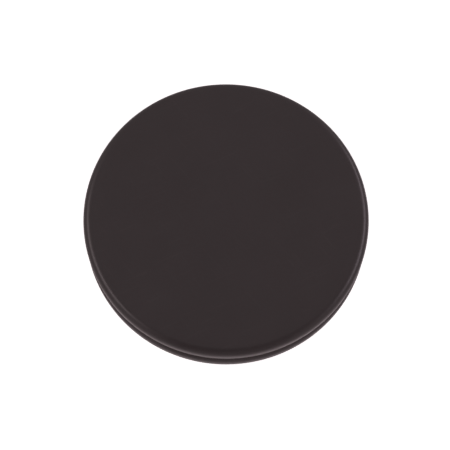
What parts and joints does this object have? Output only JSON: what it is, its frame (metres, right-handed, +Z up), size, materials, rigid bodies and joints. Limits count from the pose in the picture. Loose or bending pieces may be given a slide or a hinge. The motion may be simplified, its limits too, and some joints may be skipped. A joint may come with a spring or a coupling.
{
  "type": "hockey puck",
  "caption": "Flat round disc of solid hard rubber with rounded rims and a shallow groove round its edge, for sliding over ice or a hard floor.",
  "frame": {"origin": "centre of the bottom face, which the puck rests on", "axes": "+Z up along the puck's axis, through the middle of both flat faces"},
  "size_m": [0.0762, 0.0762, 0.0127],
  "materials": {
    "rubber": "matte, moulded"
  },
  "bodies": {
    "root": {"puck_body": "rubber"}
  },
  "joints": []
}
